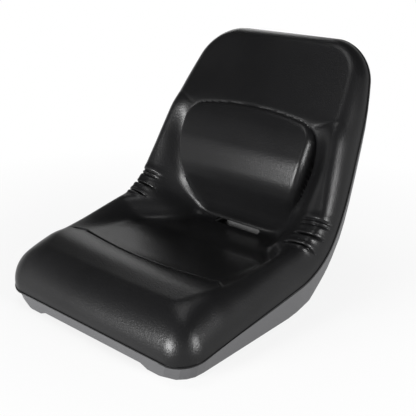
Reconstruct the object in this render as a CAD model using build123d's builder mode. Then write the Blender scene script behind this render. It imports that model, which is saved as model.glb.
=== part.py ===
"""High-back tractor seat: a moulded shell, a one-piece foam cushion in vinyl skin, moulded-in nuts.

Frame: +Z up, the sitter faces -Y, X = 0 is the plane of symmetry, Z = 0 is the base of the shell,
and the origin is the middle of the four mounting nuts.
The rim, where cushion and shell meet, is followed from the front edge to the top of the back in
three zones: the seat (0 to 1), the bend (1 to 2) and the back (2 to 3).
"""
import os
from math import atan2, cos, degrees, radians, sin, sqrt, tan

from build123d import *

# Rim line in side view
rim_front_y = -204.0
rim_front_z = 28.0
seat_slope = 9.4
seat_run = 291.0
bend_radius = 150.0
back_slope = 56.0
back_curve = 2300.0
back_run = 381.0

# Outline seen square to the rim
front_width = 484.0
seat_width = 494.0
hip_width = 500.0
shoulder_width = 462.0
upper_width = 446.0
top_width = 380.0
front_corner = 50.0
top_corner = 76.0

# Moulded shell
shell_wall = 4.0
overhang = 5.0
wall_draft = 20.0
base_rear_y = 170.0
bend_depth = 0.72
waist_depth = 46.0
back_depth = 36.0
top_depth = 14.0
base_edge_radius = 14.0
hip_edge_radius = 55.0
back_edge_radius = 16.0
channel_width = 290.0
channel_height = 7.0
channel_ramp = 16.0

# Cushion, heights above the rim line and half widths
lip_height = 6.0
lip_gap = 2.0
foam_start = 18.0
foam_ramp = 40.0
thigh_height = 77.0
seam_height = 60.0
bite_drop = 40.0
lumbar_height = 69.0
head_height = 37.0
seat_bolster = 70.0
back_bolster = 58.0
panel_half = 180.0
bite_half = 100.0
pad_half = 165.0
front_roll = 66.0
top_roll = 30.0
edge_roll = 28.0
channel_bed = 26.0
crown = 6.0
groove_half = 4.0
groove_depth = 3.0
pleat_half = 5.0
pleat_depth = 5.0
cushion_clearance = 0.5
edge_share = 0.01

# Places along the rim
seam_zone = 0.55
bite_zone = 1.84
pad_top = 2.53
pleats = (1.55, 1.86, 2.04)

# Forms of the cushion along the rim, as places with heights or half widths
middle_form = (
    (0, 0.95 * thigh_height), (0.2, thigh_height), (0.34, thigh_height), (seam_zone, seam_height),
    (0.88, 0.58 * seam_height), (1.12, 0.33 * seam_height), (1.45, 0.1 * seam_height),
    (1.62, -0.22 * bite_drop), (1.74, -0.62 * bite_drop), (bite_zone, -bite_drop),
    (1.91, -0.9 * bite_drop), (1.97, -0.65 * bite_drop), (2.03, -0.2 * bite_drop),
    (2.07, 0.1 * lumbar_height), (2.12, 0.45 * lumbar_height), (2.19, 0.72 * lumbar_height),
    (2.31, 0.96 * lumbar_height), (2.43, lumbar_height), (2.5, 0.94 * lumbar_height),
    (2.6, 0.84 * lumbar_height), (2.78, 0.68 * lumbar_height), (2.93, head_height), (3, 0.89 * head_height),
)
bolster_form = (
    (0, 1.1 * seat_bolster), (0.42, 1.08 * seat_bolster), (0.7, seat_bolster), (1, seat_bolster),
    (1.45, 0.89 * seat_bolster), (1.78, 0.9 * seat_bolster), (2.06, 0.93 * back_bolster),
    (2.3, back_bolster), (2.5, 1.09 * back_bolster), (2.62, 1.03 * back_bolster), (3, 0.84 * head_height),
)
crown_form = (
    (0, 0.3 * crown), (0.4, 0.5 * crown), (0.6, crown), (1.9, crown), (2.1, -1.3 * crown),
    (2.5, -1.3 * crown), (3, -0.7 * crown),
)
crease_form = (
    (0, 0.45 * panel_half), (0.21, 0.72 * panel_half), (seam_zone, 0.98 * panel_half), (0.9, panel_half),
    (1.1, 0.96 * panel_half), (1.45, 0.78 * panel_half), (bite_zone, bite_half), (1.94, 1.04 * bite_half),
    (2.03, 0.76 * pad_half), (2.11, 0.89 * pad_half), (2.19, 0.96 * pad_half), (2.31, pad_half),
    (2.42, pad_half), (2.49, 0.93 * pad_half), (pad_top, 0.8 * pad_half), (2.8, 0.8 * pad_half),
    (3, 0.6 * pad_half),
)
roll_form = (
    (0, 1.7 * edge_roll), (0.42, 1.36 * edge_roll), (0.7, 1.07 * edge_roll), (1.05, edge_roll),
    (2.03, 0.93 * edge_roll), (2.5, edge_roll), (3, 1.07 * edge_roll),
)
bed_form = (
    (1.8, -bite_drop), (1.94, -0.85 * channel_bed), (2.06, 0), (2.19, 0.7 * channel_bed),
    (2.31, channel_bed), (2.47, 1.3 * channel_bed), (2.52, 1.46 * channel_bed),
)
channel_share = ((bite_zone, 0), (1.95, 1), (2.36, 1), (2.46, 0.65), (pad_top, 0.15), (2.57, 0), (3, 0))
channel_form = ((0.12, 0.35), (0.24, 0.9), (0.4, 1.0), (0.72, 0.62))
roll_angles = (60, 35, 15, 0)
crease_limit = 0.84

# Mounting nuts
bolt_spacing_x = 285.75
bolt_spacing_y = 292.1
nut_diameter = 12.0
nut_length = 18.0
nut_bore = 8.0
boss_diameter = 28.0
boss_top = 24.0

# Drain slot, straight back from the bite through the shell
slot_length = 117.0
slot_height = 18.0
slot_rise = 3.0


def along(t, *stations):
    """Value at t of a smooth curve through (t, value) stations that never overshoots them."""
    x = [station[0] for station in stations]
    v = [station[1] for station in stations]
    rise = [(v[i + 1] - v[i]) / (x[i + 1] - x[i]) for i in range(len(x) - 1)]
    slope = [rise[0]]
    for a, b in zip(rise, rise[1:]):
        slope.append(2 * a * b / (a + b) if a * b > 0 else 0.0)
    slope.append(rise[-1])
    i = max(k for k in range(len(rise)) if k == 0 or t >= x[k])
    step = x[i + 1] - x[i]
    u = min(max((t - x[i]) / step, 0.0), 1.0)
    blend = u * u * (3 - 2 * u)
    hook = u * (1 - u) * step
    return v[i] * (1 - blend) + v[i + 1] * blend + hook * (slope[i] * (1 - u) - slope[i + 1] * u)


def run_at(t):
    """Length along the rim at zone place t."""
    zones = (seat_run, bend_run, back_run)
    return sum(length * min(max(t - i, 0.0), 1.0) for i, length in enumerate(zones))


def zone_at(run):
    """Zone place of a length along the rim."""
    if run <= seat_run:
        return run / seat_run
    if run <= seat_run + bend_run:
        return 1 + (run - seat_run) / bend_run
    return 2 + (run - seat_run - bend_run) / back_run


def rim_point(t):
    """Side-view point (y, z) and slope in degrees of the rim at t."""
    a, b = radians(seat_slope), radians(back_slope)
    seat = min(t, 1.0) * seat_run
    y, z, slope = rim_front_y + seat * cos(a), rim_front_z + seat * sin(a), a
    if t > 1:
        slope = a + (b - a) * (min(t, 2.0) - 1)
        y += bend_radius * (sin(slope) - sin(a))
        z += bend_radius * (cos(a) - cos(slope))
    if t > 2:
        slope = b + (t - 2) * back_run / back_curve
        y += back_curve * (sin(slope) - sin(b))
        z += back_curve * (cos(b) - cos(slope))
    return y, z, degrees(slope)


def section_plane(t):
    """Plane square to the rim at t, local X across the seat and local Y towards the sitter."""
    y, z, slope = rim_point(t)
    return Plane((0, y, z), x_dir=(1, 0, 0), z_dir=(0, -cos(radians(slope)), -sin(radians(slope))))


def half_outline(t, inset):
    """Half width of the outline at t, its rounded corners included, inset from the edge."""
    run = run_at(t)
    half = along(
        t, (0, front_width / 2), (1, seat_width / 2), (2, hip_width / 2),
        (2.5, shoulder_width / 2), (2.65, upper_width / 2), (3, top_width / 2),
    )
    lost = 0.0
    for corner, end in ((front_corner, run), (top_corner, rim_run - run)):
        r = corner - inset
        reach = min(max(corner - end, 0.0), r)
        lost += r - sqrt(r * r - reach * reach)
    return half - inset - lost


def shell_depth(t):
    """Depth of the shell below the rim, measured square to it: a flat base, then the back."""
    z, slope = rim_point(min(t, flat_end))[1:]
    flat_depth = z / cos(radians(slope))
    if t <= flat_end:
        return flat_depth
    return along(
        t, (flat_end, flat_depth), (2.0, bend_depth * flat_depth), (2.2, waist_depth),
        (2.5, back_depth), (3, top_depth),
    )


def dip(t, place, half_width):
    """Share from 0 to 1 of a V groove across the rim at place, half_width to each side of it."""
    return max(0.0, 1 - abs(run_at(t) - run_at(place)) / half_width)


def stations(inset, body):
    """Places of the sections, set in from both ends: corner steps, then those of the body between."""
    corner_steps = (0.08, 0.27, 0.5, 0.75, 1.1)
    runs = [front_corner * step for step in corner_steps]
    runs += [rim_run - top_corner * step for step in corner_steps]
    runs += [run_at(t) for t in body]
    room = inset + cushion_clearance
    runs = [inset] + sorted(run for run in runs if room < run < rim_run - room) + [rim_run - inset]
    return [zone_at(run) for run in runs]


def pan_curves(t, wall, brim, share):
    """Half section of the shell's form, set in by a wall, from its middle to the height of the brim.

    A share under one draws the floor up towards the rim. Returns the floor's points, the end of
    the corner on the wall, the direction of the wall and the brim's point.
    """
    inset = overhang + wall
    draft = tan(radians(wall_draft))
    floor = (wall - shell_depth(t)) * share + cushion_clearance * (1 - share)
    rim = min(half_outline(t, inset), half_outline(t, 0) - inset)
    corner = rim + floor * draft
    edge = along(
        t, (0, base_edge_radius), (1, base_edge_radius), (1.6, hip_edge_radius),
        (1.9, hip_edge_radius), (2.2, back_edge_radius), (3, top_depth / 2),
    )
    reach = (edge * share + (brim - floor) / 3 * (1 - share)) * tan(radians(45 - wall_draft / 2))
    lean = Vector(-sin(radians(wall_draft)), -cos(radians(wall_draft)))
    wall_end = Vector(corner, floor) - lean * reach
    runner = min(channel_width / 2, corner - reach - channel_ramp / 4)
    rise = channel_height * along(t, (0, 1), (2.6, 1), (3, 0.3)) * max(share, 0.1)
    bottom = [
        Vector(0, floor + rise), Vector(runner - channel_ramp, floor + rise), Vector(runner, floor),
        Vector(corner - reach, floor),
    ]
    return bottom, wall_end, lean, Vector(rim + brim * draft, brim)


def pan_section(t, wall, brim):
    """Face square to the rim at t with the shell's form, set in by a wall, closed at the brim."""
    bottom, wall_end, lean, rim = pan_curves(t, wall, brim, 1)
    with BuildSketch(section_plane(t)) as section:
        with BuildLine():
            Polyline(*bottom)
            TangentArc(wall_end, bottom[-1], tangent=lean)
            Polyline(wall_end, rim, (0, brim))
            mirror(about=Plane.YZ)
        make_face()
    return section.sketch


def cushion_curves(t):
    """Half section of the cushion's top: the middle's three control points and the flank's points."""
    run = run_at(t)
    front = sqrt(max(edge_share, 1 - max(0.0, 1 - run / front_roll) ** 2))
    top = sqrt(max(edge_share, 1 - max(0.0, 1 - (rim_run - run) / top_roll) ** 2))
    groove = groove_depth * max(dip(t, seam_zone, groove_half), dip(t, pad_top, groove_half))
    pleat = pleat_depth * max(dip(t, place, pleat_half) for place in pleats)
    middle_height = along(t, *middle_form) - groove
    half = half_outline(t, 0)
    ridge_x = half - min(along(t, *roll_form), half / 2)
    crease_x = min(along(t, *crease_form), crease_limit * ridge_x)

    def level(height):
        return lip_height + (height - lip_height) * front * top

    crease = Vector(crease_x, level(middle_height + along(t, *crown_form)))
    middle = (Vector(0, level(middle_height)), Vector(crease_x / 2, level(middle_height)), crease)
    crest = Vector(ridge_x - pleat / 2, level(along(t, *bolster_form)) - pleat)
    drop = (crease.Y - along(t, *bed_form)) * along(t, *channel_share)
    flank = [crease]
    for share, depth in channel_form:
        slope = crease + (crest - crease) * share
        flank.append(slope - Vector(0, depth * drop))
    flank.append(crest)
    for angle in roll_angles:
        x = half - pleat * sin(radians(angle)) - (half - ridge_x) * (1 - cos(radians(angle)))
        flank.append(Vector(x, lip_height + (crest.Y - lip_height) * sin(radians(angle))))
    return middle, flank


def cushion_section(t):
    """Face square to the rim at t: the cushion's top, its lip over the rim, its foam in the shell."""
    wall = shell_wall + cushion_clearance
    end = min(run_at(t), rim_run - run_at(t))
    u = min(max((end - foam_start) / foam_ramp, 0.0), 1.0)
    bottom, wall_end, _, rim = pan_curves(t, wall, lip_gap, u * u * (3 - 2 * u))
    middle, flank = cushion_curves(t)
    with BuildSketch(section_plane(t)) as section:
        with BuildLine():
            Bezier(*middle)
            Spline(*flank)
            Polyline(flank[-1], (flank[-1].X, lip_gap), rim, wall_end, *reversed(bottom))
            mirror(about=Plane.YZ)
        make_face()
    return section.sketch


# Derived places
bend_run = bend_radius * radians(back_slope - seat_slope)
rim_run = seat_run + bend_run + back_run
bend_y = rim_front_y + seat_run * cos(radians(seat_slope)) - bend_radius * sin(radians(seat_slope))
bend_z = rim_front_z + seat_run * sin(radians(seat_slope)) + bend_radius * cos(radians(seat_slope))
flat_slope = degrees(atan2(base_rear_y - bend_y, bend_z))
flat_end = 1 + (flat_slope - seat_slope) / (back_slope - seat_slope)
bite_y, bite_z, bite_slope = rim_point(bite_zone)
bite_y += bite_drop * sin(radians(bite_slope))
bite_z -= bite_drop * cos(radians(bite_slope))
slot_plane = Plane((0, bite_y - slot_height, bite_z + slot_rise), x_dir=(1, 0, 0), z_dir=(0, 1, 0))
slot_reach = slot_height + 2 * shell_depth(bite_zone)
shell_body = [0.42, 1.0, 1.15, flat_end, 1.45, 1.65, 1.74, 1.95, 2.12, 2.22, 2.37, 2.5, 2.59, 2.68]
shell_body += pleats
cushion_body = [0.42, 0.77, 1.0, 1.15, flat_end, 1.45, 1.65, 1.74, 1.8, 1.92, 1.98, 2.09, 2.14, 2.22]
cushion_body += [2.31, 2.42, 2.49, 2.59, 2.68]
for side in (-1, 0, 1):
    cushion_body += [zone_at(run_at(place) + side * groove_half) for place in (seam_zone, pad_top)]
    cushion_body += [zone_at(run_at(place) + side * pleat_half) for place in pleats]

# Shell
with BuildPart() as hollow:
    inner_places = stations(overhang + shell_wall, shell_body)
    loft([pan_section(t, shell_wall, shell_wall) for t in inner_places], ruled=True)

with BuildPart() as nut_blanks:
    with GridLocations(bolt_spacing_x, bolt_spacing_y, 2, 2):
        Cylinder(nut_diameter / 2, nut_length, align=(Align.CENTER, Align.CENTER, Align.MIN))

with BuildPart() as mount_nuts:
    add(nut_blanks.part)
    with GridLocations(bolt_spacing_x, bolt_spacing_y, 2, 2):
        Cylinder(nut_bore / 2, 3 * nut_length, mode=Mode.SUBTRACT)

with BuildPart() as seat_shell:
    loft([pan_section(t, 0, 0) for t in stations(overhang, shell_body)], ruled=True)
    add(hollow.part, mode=Mode.SUBTRACT)
    with GridLocations(bolt_spacing_x, bolt_spacing_y, 2, 2):
        Cylinder(boss_diameter / 2, boss_top, align=(Align.CENTER, Align.CENTER, Align.MIN))
    add(nut_blanks.part, mode=Mode.SUBTRACT)
    with BuildSketch(slot_plane):
        SlotOverall(slot_length, slot_height)
    extrude(amount=slot_reach, mode=Mode.SUBTRACT)

# Cushion
with BuildPart() as cushion:
    loft([cushion_section(t) for t in stations(0, cushion_body)], ruled=True)
    with GridLocations(bolt_spacing_x, bolt_spacing_y, 2, 2):
        Cylinder(
            boss_diameter / 2 + cushion_clearance, boss_top + cushion_clearance,
            align=(Align.CENTER, Align.CENTER, Align.MIN), mode=Mode.SUBTRACT,
        )
    with BuildSketch(slot_plane):
        SlotOverall(slot_length, slot_height)
    extrude(amount=slot_reach, mode=Mode.SUBTRACT)

seat_shell.part.label = "seat_shell"
cushion.part.label = "cushion"
mount_nuts.part.label = "mount_nuts"
os.makedirs("parts", exist_ok=True)
export_step(seat_shell.part, "parts/seat_shell.step")
export_step(cushion.part, "parts/cushion.step")
export_step(mount_nuts.part, "parts/mount_nuts.step")
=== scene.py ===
"""Looks of a high-back tractor seat: a foam cushion in grained vinyl skin on a moulded shell."""
import math

import bpy
import numpy as np
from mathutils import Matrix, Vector


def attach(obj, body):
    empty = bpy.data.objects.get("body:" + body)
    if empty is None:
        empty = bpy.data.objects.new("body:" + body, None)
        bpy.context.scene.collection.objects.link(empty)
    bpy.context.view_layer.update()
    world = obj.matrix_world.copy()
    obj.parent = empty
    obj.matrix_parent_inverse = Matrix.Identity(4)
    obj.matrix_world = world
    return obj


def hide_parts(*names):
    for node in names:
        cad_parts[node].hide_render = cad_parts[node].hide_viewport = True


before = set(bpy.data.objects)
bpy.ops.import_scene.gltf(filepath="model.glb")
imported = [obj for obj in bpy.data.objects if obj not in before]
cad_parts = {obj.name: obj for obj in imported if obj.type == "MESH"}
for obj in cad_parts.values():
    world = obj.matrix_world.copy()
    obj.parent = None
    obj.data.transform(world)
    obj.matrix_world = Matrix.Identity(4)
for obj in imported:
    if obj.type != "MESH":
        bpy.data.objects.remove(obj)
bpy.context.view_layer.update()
bpy.ops.object.select_all(action="DESELECT")

# Sizes of the rim line in side view, in millimetres, as in the part's source
RIM_FRONT_Y, RIM_FRONT_Z = -204.0, 28.0
SEAT_SLOPE, BACK_SLOPE = math.radians(9.4), math.radians(56.0)
SEAT_RUN, BEND_RADIUS, BACK_CURVE, BACK_RUN = 291.0, 150.0, 2300.0, 381.0
BEND_RUN = BEND_RADIUS * (BACK_SLOPE - SEAT_SLOPE)
BACK_START = SEAT_RUN + BEND_RUN
RIM_RUN = BACK_START + BACK_RUN

# Corner radii of the outline, and of the front corners up on the thigh roll
FRONT_CORNER, TOP_CORNER = 50.0, 76.0
ROLL_CORNER, ROLL_BLEND = 82.0, 78.0

# Lip of the cushion over the shell, and the gap under it, which is widest beside the thigh roll
LIP_OUT, LIP_TOP = 1.6, 5.5
LIP_GAP, GAP_SWELL, GAP_RUN, GAP_SPREAD = 2.0, 2.5, 110.0, 80.0

# Foam that reaches down into the shell
FOAM_INSET, FOAM_START, FOAM_RAMP, FOAM_STEP = 9.8, 18.0, 40.0, 20.0
FOAM_DRAFT = math.tan(math.radians(20))

# Sit panel, bolsters and upper back
PANEL_HALF, PANEL_NARROWING, PANEL_RISE = 178.0, 70.0, 6.0
FLANK, FLANK_GROWTH, FLANK_POWER = 42.0, 60.0, 1.7
THIGH_RISE, RIDGE_HALF, UPPER_CROWN = 4.0, 214.0, 5.0
SOFTNESS, SOFT_STEPS = 11.0, 7

# Bite, where the seat turns into the back
BITE_RUN, BITE_LENGTH = 384.0, 22.0

# Seam behind the thigh roll
SEAM_RUN, SEAM_BOW, SEAM_HALF, SEAM_TURN = 163.0, 13.0, 175.0, 0.72
SEAM_DEPTH, SEAM_WIDTH, SEAM_BLEND = 2.8, 2.8, 28.0

# Lumbar pad, the groove round it and the faint crease beside its top corners
PAD_TOP, PAD_TOP_BOW, PAD_CORNER, PAD_ROLL, PAD_CROWN = 620.0, 16.0, 36.0, 13.0, 4.0
GROOVE_DEPTH, GROOVE_WIDTH = 1.8, 3.0
CREASE_RUN, CREASE_CLIMB, CREASE_DEPTH, CREASE_WIDTH = 604.0, 20.0, 0.9, 4.0

# Pleats across the bolsters, as places along the rim and depths
PLEATS = ((361.0, 7.0), (399.0, 6.5), (426.0, 4.5), (434.0, 4.5))
PLEAT_WIDTH, PLEAT_SLANT, PLEAT_CENTRE = 2.6, 0.06, 215.0
PUFF_HEIGHT, PUFF_PLACE, PUFF_WIDTH = 1.2, 9.0, 5.0

# Drain slot
SLOT_LENGTH, SLOT_HEIGHT, SLOT_FRONT, SLOT_REAR, SLOT_Z = 117.0, 12.0, 192.0, 275.0, 99.0

# Vertices across the top and the foam, and how much closer they lie at the edges
TOP_COLUMNS, FOAM_COLUMNS, EDGE_ROWS = 221, 31, 45
SIDE_CROWDING, END_CROWDING = 1.7, 1.9


def curve(*knots):
    """Smooth curve through (place, value) knots that never overshoots them."""
    places, values = np.array(knots, float).T
    rise = np.diff(values) / np.diff(places)
    slope = np.zeros(len(places))
    slope[0], slope[-1] = rise[0], rise[-1]
    for i in range(1, len(rise)):
        if rise[i - 1] * rise[i] > 0:
            slope[i] = 2 * rise[i - 1] * rise[i] / (rise[i - 1] + rise[i])

    def value(place):
        place = np.asarray(place, float)
        i = np.clip(np.searchsorted(places, place, side="right") - 1, 0, len(rise) - 1)
        step = places[i + 1] - places[i]
        u = np.clip((place - places[i]) / step, 0, 1)
        blend = u * u * (3 - 2 * u)
        hook = u * (1 - u) * step * (slope[i] * (1 - u) - slope[i + 1] * u)
        return values[i] * (1 - blend) + values[i + 1] * blend + hook

    return value


def ramp(place, start, length):
    """Smooth step from 0 at a start to 1 at a length beyond it."""
    u = np.clip((place - start) / length, 0, 1)
    return u * u * (3 - 2 * u)


def bell(place, centre, width):
    """Bell-shaped bump of height 1."""
    return np.exp(-(((place - centre) / width) ** 2))


# Forms of the cushion along the rim, as heights above it or half widths
half_width = curve((0, 242), (291, 247), (413, 250), (603.5, 231), (660.6, 223), (794, 190))
roll_reach = curve(
    (0, 78), (66, 70), (126, 52), (206, 36), (306, 28), (400, 22), (440, 22), (520, 32),
    (606, 34), (794, 22),
)
thigh = curve((6, 72), (58, 77), (99, 77), (136, 70), (166, 60), (206, 48))
dish = curve(
    (126, 66), (163, 58), (206, 47), (256, 35), (306, 20), (346, 6), (366, -9), (381, -25),
    (394, -40), (402, -44), (426, -40),
)
ridge = curve(
    (0, 77), (122, 76), (204, 70), (291, 70), (346, 62), (386, 57), (436, 46), (480, 51),
    (527, 58), (603, 64), (649, 60), (794, 31),
)
valley = curve(
    (386, -44), (406, -34), (426, -12), (446, 6), (486, 20), (536, 30), (575, 44), (604, 56),
    (640, 58),
)
pad_face = curve(
    (386, -44), (394, -41), (402, -35), (409, -26), (426, -8), (439, 7), (461, 32), (487, 50),
    (535, 66), (581, 69), (610, 66), (646, 60),
)
upper_back = curve((566, 66), (610, 63), (646, 58), (718, 47), (778, 37), (794, 33))
foam_depth = curve(
    (0, 16), (291, 64), (315, 74), (336, 87), (352, 82), (376, 75), (413, 60), (451, 46),
    (489, 34), (603, 24), (699, 13), (794, 4),
)
pad_half = curve(
    (391, 80), (406, 102), (426, 126), (456, 147), (486, 158), (536, 165), (581, 165), (646, 160)
)


def rim_line(run):
    """Side-view place (y, z) and slope of the rim at a length along it."""
    bend = np.clip((run - SEAT_RUN) / BEND_RADIUS, 0, BACK_SLOPE - SEAT_SLOPE) + SEAT_SLOPE
    back = np.clip((run - BACK_START) / BACK_CURVE, 0, None) + BACK_SLOPE
    seat = np.minimum(run, SEAT_RUN)
    y = RIM_FRONT_Y + seat * np.cos(SEAT_SLOPE) + BEND_RADIUS * (np.sin(bend) - np.sin(SEAT_SLOPE))
    z = RIM_FRONT_Z + seat * np.sin(SEAT_SLOPE) + BEND_RADIUS * (np.cos(SEAT_SLOPE) - np.cos(bend))
    y = y + BACK_CURVE * (np.sin(back) - np.sin(BACK_SLOPE))
    z = z + BACK_CURVE * (np.cos(BACK_SLOPE) - np.cos(back))
    return y, z, np.where(run > BACK_START, back, bend)


def outline(run, inset):
    """Half width of the cushion with its rounded corners, set in from its edge."""
    width = half_width(run) - inset
    for corner, end in ((FRONT_CORNER, run), (TOP_CORNER, RIM_RUN - run)):
        radius = corner - inset
        reach = np.clip(corner - end, 0, radius)
        width = width - radius + np.sqrt(radius * radius - reach * reach)
    return width


def rounded_distance(to_side, to_end, corner):
    """Distance inwards from two edges that meet in a rounded corner."""
    to_corner = np.hypot(np.maximum(corner - to_side, 0), np.maximum(corner - to_end, 0))
    in_corner = (to_side < corner) & (to_end < corner)
    return np.where(in_corner, corner - to_corner, np.minimum(to_side, to_end))


def edge_distance(run, x, front_corner):
    """Distance inwards from the cushion's outline."""
    to_side = half_width(run) - np.abs(x)
    at_front = rounded_distance(to_side, run, front_corner)
    return np.minimum(at_front, rounded_distance(to_side, RIM_RUN - run, TOP_CORNER))


def seam_line(across):
    """Length along the rim of the seam behind the thigh roll."""
    bow = SEAM_BOW * np.cos(np.clip(across / SEAM_HALF, 0, 1) * np.pi / 2)
    return SEAM_RUN - bow - SEAM_TURN * np.maximum(across - SEAM_HALF, 0)


def foam_form(run, x):
    """Height above the rim of bolsters, thigh roll, sit panel, channels and upper back."""
    across = np.abs(x)
    # Sit panel between the bolsters, narrower and with longer flanks towards the bite
    panel_half = PANEL_HALF - PANEL_NARROWING * ramp(run, 290, 106)
    panel = dish(run) + PANEL_RISE * (across / 175) ** 2
    flank = FLANK + FLANK_GROWTH * ramp(run, 306, 90)
    climb = np.clip((across - panel_half) / flank, 0, 1)
    seat = panel + (np.maximum(ridge(run), panel) - panel) * (1 - (1 - climb) ** FLANK_POWER)
    # Thigh roll at the front
    front = thigh(run) + THIGH_RISE * (across / 170) ** 2
    share = ramp(run, seam_line(across) - SEAM_BLEND / 2, SEAM_BLEND)
    seat = front * (1 - share) + seat * share
    # Channels and bolsters of the back, and the upper back above them
    side = pad_half(run)
    back = valley(run) + (ridge(run) - valley(run)) * ramp(across, side, RIDGE_HALF - side)
    share = ramp(run, 588, 40)
    back = back * (1 - share) + (upper_back(run) - UPPER_CROWN * (across / 200) ** 2) * share
    # Bite between seat and back, longer and further forward beside the pad
    beside = ramp(across, 90, 70)
    share = ramp(run, BITE_RUN - BITE_LENGTH * beside, BITE_LENGTH * (1 + 2 * beside))
    return seat * (1 - share) + back * share


def softened(form, run, x):
    """A form averaged over a small round patch, as foam rounds every edge."""
    steps = np.linspace(-1.5, 1.5, SOFT_STEPS)
    total, weights = 0.0, 0.0
    for along in steps:
        for sideways in steps:
            weight = math.exp(-(along * along + sideways * sideways) / 2)
            total = total + weight * form(run + along * SOFTNESS, x + sideways * SOFTNESS)
            weights += weight
    return total / weights


def pad_depth(run, across):
    """Distance inwards from the edge of the lumbar pad, negative outside it."""
    lean = (pad_half(run + 1) - pad_half(run - 1)) / 2
    to_side = (pad_half(run) - across) / np.sqrt(1 + lean * lean)
    to_top = PAD_TOP - PAD_TOP_BOW * np.clip(across / 150, 0, 2) ** 2 - run
    return rounded_distance(to_side, to_top, PAD_CORNER)


def cushion_height(run, x):
    """Height of the padded top above the rim, before it rolls down to its lip."""
    across = np.abs(x)
    height = softened(foam_form, run, x)
    # Lumbar pad with a tight rounded edge and a groove round it, both starting above the bite
    inside = pad_depth(run, across)
    share = np.sqrt(1 - (1 - np.clip(inside / PAD_ROLL, 0, 1)) ** 2) * ramp(run, 388, 24)
    height = height + (pad_face(run) - PAD_CROWN * (across / 165) ** 2 - height) * share
    height = height - GROOVE_DEPTH * bell(inside, 0, GROOVE_WIDTH) * ramp(run, 415, 30)
    # Seam behind the thigh roll, ending in a short tick over each bolster
    fade = 1 - ramp(across, 180, 24)
    height = height - SEAM_DEPTH * fade * bell(run, seam_line(across), SEAM_WIDTH)
    # Faint crease from the pad's top corners out over the bolsters
    crease = CREASE_RUN + CREASE_CLIMB * ramp(across, 150, 62)
    fade = ramp(across, 148, 14) * (1 - ramp(across, 200, 18))
    return height - CREASE_DEPTH * fade * bell(run, crease, CREASE_WIDTH)


def cushion_top(run, x):
    """Height of the finished top above the rim: rolled edge, lip and pleats."""
    across = np.abs(x)
    # Edge that rolls down to the lip, rounder in plan the higher it is at the front corners
    inwards = edge_distance(run, x, FRONT_CORNER)
    share = ramp(inwards, 0, ROLL_BLEND)
    inwards = inwards * (1 - share) + edge_distance(run, x, ROLL_CORNER) * share
    inwards = np.maximum(inwards - LIP_OUT, 0)
    roll = np.sqrt(np.maximum(1 - np.clip(1 - inwards / roll_reach(run), 0, 1) ** 2, 0))
    height = LIP_TOP + (cushion_height(run, x) - LIP_TOP) * roll
    # Pleats, with the skin puffed up on both sides of each
    for pleat, depth in PLEATS:
        off = run - pleat - PLEAT_SLANT * (across - PLEAT_CENTRE)
        puff = PUFF_HEIGHT * bell(np.abs(off), PUFF_PLACE, PUFF_WIDTH)
        crease = depth * bell(off, 0, PLEAT_WIDTH) - puff
        height = height - crease * ramp(across, 178, 26) * ramp(inwards, 0, 8)
    return height


def cushion_rows():
    """Lengths along the rim of the rows of vertices, closer at ends, seam and pleats."""
    ends = np.linspace(0, 1, EDGE_ROWS)
    front = 95 * ends ** END_CROWDING
    top = RIM_RUN - 80 * ends[::-1] ** END_CROWDING
    middle = np.concatenate([
        np.arange(97.5, 132, 2.6), np.arange(133, 178, 1.3), np.arange(180, 335, 2.6),
        np.arange(336, 446, 1.5), np.arange(448, RIM_RUN - 82, 2.6),
    ])
    return np.concatenate([front, middle, top])


def cushion_mesh():
    """Vertices of the closed cushion in metres, row by row round each section."""
    runs = cushion_rows()
    # Top, from lip to lip
    share = np.linspace(-1, 1, TOP_COLUMNS)
    share = np.sign(share) * (1 - (1 - np.abs(share)) ** SIDE_CROWDING)
    lip_x = outline(runs, 0)[:, None]
    top_x = lip_x * share
    top_h = cushion_top(np.repeat(runs[:, None], TOP_COLUMNS, 1), top_x)
    # Foam below the lip, which sinks into the shell away from both ends
    end = np.minimum(runs, RIM_RUN - runs)
    sink = ramp(end, FOAM_START, FOAM_RAMP)[:, None]
    neck = np.minimum(outline(runs, FOAM_INSET), outline(runs, 0) - FOAM_INSET)[:, None]
    bow = (1.5 + 2 * bell(runs, 0, 12))[:, None]
    foam_h = bow * (1 - sink) - foam_depth(runs)[:, None] * sink
    across = np.linspace(1, -1, FOAM_COLUMNS)
    foam_x = (neck - FOAM_STEP * sink + FOAM_DRAFT * np.minimum(foam_h, 0)) * across
    # Sections closed round top, lip and foam, then set square to the rim
    gap = LIP_GAP + GAP_SWELL * bell(runs[:, None], GAP_RUN, GAP_SPREAD)
    ring_x = np.concatenate([top_x, lip_x, neck, foam_x, -neck, -lip_x], 1)
    ring_h = np.concatenate([top_h, gap, gap, np.repeat(foam_h, FOAM_COLUMNS, 1), gap, gap], 1)
    y, z, slope = (value[:, None] for value in rim_line(runs))
    return np.stack([ring_x, y - ring_h * np.sin(slope), z + ring_h * np.cos(slope)], -1) / 1000


def add_cushion():
    """The padded cushion: a grid wrapped round its sections, with both ends closed."""
    places = cushion_mesh()
    rows, ring = places.shape[:2]
    bpy.ops.mesh.primitive_grid_add(x_subdivisions=ring, y_subdivisions=rows - 1, size=1)
    piece = bpy.context.object
    piece.name = piece.data.name = "padded_cushion"
    wrapped = np.concatenate([places, places[:, :1]], 1)
    piece.data.vertices.foreach_set("co", wrapped.ravel())
    piece.data.update()
    bpy.ops.object.mode_set(mode="EDIT")
    bpy.ops.mesh.select_all(action="SELECT")
    bpy.ops.mesh.remove_doubles(threshold=1e-6)
    bpy.ops.mesh.fill_holes(sides=0)
    bpy.ops.mesh.select_all(action="SELECT")
    bpy.ops.mesh.normals_make_consistent(inside=False)
    bpy.ops.object.mode_set(mode="OBJECT")
    return piece


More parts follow.
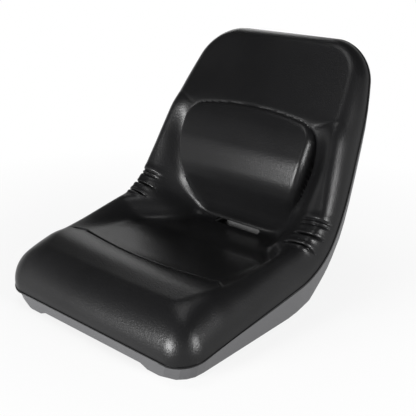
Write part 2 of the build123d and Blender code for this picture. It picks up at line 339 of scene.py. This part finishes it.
def cut_slot(piece):
    """Cuts the drain slot straight back through the bite of the cushion."""
    depth = SLOT_REAR - SLOT_FRONT
    bpy.ops.mesh.primitive_cylinder_add(
        vertices=48, radius=SLOT_HEIGHT / 2000, depth=depth / 1000, rotation=(math.pi / 2, 0, 0),
        location=(0, (SLOT_FRONT + depth / 2) / 1000, SLOT_Z / 1000),
    )
    cutter = bpy.context.object
    bpy.ops.object.transform_apply()
    stretch = (SLOT_LENGTH - SLOT_HEIGHT) / 2000
    for vertex in cutter.data.vertices:
        vertex.co.x += math.copysign(stretch, vertex.co.x + 1e-7)
    piece.select_set(True)
    bpy.context.view_layer.objects.active = piece
    cut = piece.modifiers.new("drain_slot", "BOOLEAN")
    cut.object = cutter
    cut.solver = "EXACT"
    bpy.ops.object.modifier_apply(modifier=cut.name)
    bpy.data.objects.remove(cutter)


class Value:
    """A number that changes over a surface, for sums written as plain expressions."""

    def __init__(self, graph, socket):
        self.graph, self.socket = graph, socket

    def combine(self, operation, first, second):
        return self.graph.add("ShaderNodeMath", {"operation": operation}, {0: first, 1: second})

    def __add__(self, other):
        return self.combine("ADD", self, other)

    def __radd__(self, other):
        return self.combine("ADD", other, self)

    def __sub__(self, other):
        return self.combine("SUBTRACT", self, other)

    def __rsub__(self, other):
        return self.combine("SUBTRACT", other, self)

    def __mul__(self, other):
        return self.combine("MULTIPLY", self, other)

    def __rmul__(self, other):
        return self.combine("MULTIPLY", other, self)


class Graph:
    """The nodes of a material or of the world."""

    def __init__(self, tree):
        self.tree = tree

    def add(self, kind, settings, inputs, output=0):
        """Adds a node, sets it and its inputs, and returns one of its outputs as a Value."""
        node = self.tree.nodes.new(kind)
        for key, setting in settings.items():
            setattr(node, key, setting)
        for key, value in inputs.items():
            self.feed(node.inputs[key], value)
        return Value(self, node.outputs[output])

    def feed(self, socket, value):
        """Links a Value to a socket, or sets the socket to a constant."""
        if isinstance(value, Value):
            self.tree.links.new(value.socket, socket)
        else:
            socket.default_value = value

    def glow(self, end, surface, kind, share):
        """Shows a share of plain white to the camera, in reflections and through glass."""
        rays = ("Is Camera Ray", "Is Glossy Ray", "Is Transmission Ray")
        seen = sum(self.add("ShaderNodeLightPath", {}, {}, ray) for ray in rays)
        white = self.add(kind, {}, {"Color": (1, 1, 1, 1), "Strength": 1.0})
        inputs = {0: seen * share, 1: Value(self, surface.outputs[0]), 2: white}
        mixed = self.add("ShaderNodeMixShader", {}, inputs)
        self.feed(self.tree.nodes[end].inputs["Surface"], mixed)


class Finish(Graph):
    """A procedural material with its nodes."""

    def __init__(self, name):
        self.material = bpy.data.materials.new(name)
        self.material.use_nodes = True
        super().__init__(self.material.node_tree)
        self.shader = self.tree.nodes["Principled BSDF"]
        self.place = self.add("ShaderNodeTexCoord", {}, {}, "Object")

    def set(self, **inputs):
        """Feeds the shader's own sockets, named with underscores for spaces."""
        for key, value in inputs.items():
            self.feed(self.shader.inputs[key.replace("_", " ").title()], value)

    def noise(self, scale, detail=3.0, roughness=0.5):
        settings = {"noise_dimensions": "3D"}
        inputs = {"Vector": self.place, "Scale": scale, "Detail": detail, "Roughness": roughness}
        return self.add("ShaderNodeTexNoise", settings, inputs, "Fac")

    def cells(self, scale, feature):
        inputs = {"Vector": self.place, "Scale": scale}
        return self.add("ShaderNodeTexVoronoi", {"feature": feature}, inputs, "Distance")

    def blend(self, share, first, second):
        inputs = {0: share, 6: (*first, 1), 7: (*second, 1)}
        return self.add("ShaderNodeMix", {"data_type": "RGBA"}, inputs, 2)

    def bump(self, height, strength, distance):
        inputs = {"Height": height, "Strength": strength, "Distance": distance}
        return self.add("ShaderNodeBump", {}, inputs, "Normal")


def vinyl_finish():
    """Black vinyl skin with a fine leather grain, a soft gloss and faint handling marks."""
    vinyl = Finish("black_vinyl")
    pebbles = vinyl.cells(620.0, "SMOOTH_F1")
    creases = vinyl.noise(260.0, 4.0, 0.6)
    cloud = vinyl.noise(9.0)
    vinyl.set(
        base_color=vinyl.blend(cloud, (0.003, 0.003, 0.0032), (0.0055, 0.0055, 0.0058)),
        roughness=0.25 + 0.08 * cloud + 0.06 * creases,
        normal=vinyl.bump(pebbles + 1.3 * creases, 0.32, 0.0007),
    )
    vinyl.shader.inputs["Specular IOR Level"].default_value = 0.17
    return vinyl.material


def shell_finish():
    """Dark grey moulded plastic with a spark-eroded grain."""
    plastic = Finish("grained_plastic")
    grain = plastic.noise(900.0, 2.0, 0.6)
    cloud = plastic.noise(14.0)
    plastic.set(
        base_color=plastic.blend(cloud, (0.03, 0.03, 0.032), (0.044, 0.044, 0.046)),
        roughness=0.46 + 0.14 * cloud,
        normal=plastic.bump(grain, 0.3, 0.0005),
    )
    return plastic.material


def nut_finish():
    """Zinc plated steel with turning marks."""
    steel = Finish("zinc_plate")
    marks = steel.noise(420.0, 2.0)
    steel.set(
        base_color=steel.blend(marks, (0.42, 0.42, 0.41), (0.6, 0.6, 0.58)),
        roughness=0.3 + 0.2 * marks,
        normal=steel.bump(marks, 0.15, 0.0003),
        metallic=1.0,
    )
    return steel.material


def dress(piece, material):
    """Gives a piece one material."""
    piece.data.materials.clear()
    piece.data.materials.append(material)


def softbox(name, place, aim, width, height, power):
    """A rectangular studio light."""
    lamp = bpy.data.lights.new(name, "AREA")
    lamp.shape = "RECTANGLE"
    lamp.size, lamp.size_y, lamp.energy = width, height, power
    light = bpy.data.objects.new(name, lamp)
    bpy.context.collection.objects.link(light)
    light.location = place
    light.rotation_euler = (Vector(aim) - Vector(place)).to_track_quat("-Z", "Y").to_euler()


# Cushion
cushion = add_cushion()
cut_slot(cushion)
bpy.ops.object.shade_smooth_by_angle(angle=math.radians(40))
dress(cushion, vinyl_finish())
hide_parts("cushion")
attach(cushion, "root")
bpy.ops.object.select_all(action="DESELECT")

# Shell and nuts
dress(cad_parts["seat_shell"], shell_finish())
dress(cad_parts["mount_nuts"], nut_finish())

# Floor, white to the eye and in reflections, with a weaker glow near the seat to keep its shadow
bpy.ops.mesh.primitive_plane_add(size=14, location=(0, 0, 0))
floor = bpy.context.object
floor.name = "floor"
paper = Finish("floor_paper")
paper.set(base_color=(0.7, 0.7, 0.7, 1), roughness=0.9)
distance = paper.add("ShaderNodeVectorMath", {"operation": "LENGTH"}, {0: paper.place}, "Value")
paper.glow("Material Output", paper.shader, "ShaderNodeEmission", 0.78 + 0.2 * distance)
dress(floor, paper.material)

# Background, white at the horizon and dark above
studio = bpy.data.worlds.new("studio")
bpy.context.scene.world = studio
studio.use_nodes = True
room = Graph(studio.node_tree)
backdrop = room.tree.nodes["Background"]
backdrop.inputs["Color"].default_value = (1, 1, 1, 1)
backdrop.inputs["Strength"].default_value = 0.07
direction = room.add("ShaderNodeTexCoord", {}, {}, "Generated")
height = room.add("ShaderNodeSeparateXYZ", {}, {0: direction}, "Z")
room.glow("World Output", backdrop, "ShaderNodeBackground", 1.25 - 2.8 * height)

# Studio lights, in metres and watts
softbox("front_light", (-0.33, -2.1, 0.26), (0, 0.05, 0.15), 0.9, 0.5, 120)
softbox("side_light", (2.15, -0.1, 0.55), (0, 0.05, 0.2), 0.6, 0.8, 76)
softbox("top_light", (-0.2, -0.2, 2.4), (0, 0.1, 0.2), 1.0, 1.0, 16)
softbox("rear_light", (-1.5, 1.6, 1.2), (0, 0, 0.15), 1.0, 0.8, 5)

# Camera at the photograph's view, with focal length and centre in pixels of the image
AZIMUTH, ELEVATION, DISTANCE = math.radians(42.3275), math.radians(20.038), 1.56787
AIM = Vector((0, 0.12543, 0.16725))
IMAGE, FOCAL, CENTRE_X, CENTRE_Y = 416, 798.26, 213.17, 204.25
level = math.cos(ELEVATION)
towards = Vector((math.sin(AZIMUTH) * level, -math.cos(AZIMUTH) * level, math.sin(ELEVATION)))
lens = bpy.data.cameras.new("camera")
camera = bpy.data.objects.new("camera", lens)
bpy.context.collection.objects.link(camera)
camera.location = AIM + towards * DISTANCE
camera.rotation_euler = (-towards).to_track_quat("-Z", "Y").to_euler()
lens.sensor_width = 36
lens.lens = lens.sensor_width * FOCAL / IMAGE
lens.shift_x = (IMAGE / 2 - CENTRE_X) / IMAGE
lens.shift_y = (CENTRE_Y - IMAGE / 2) / IMAGE
bpy.context.scene.camera = camera
bpy.context.scene.view_settings.view_transform = "Standard"
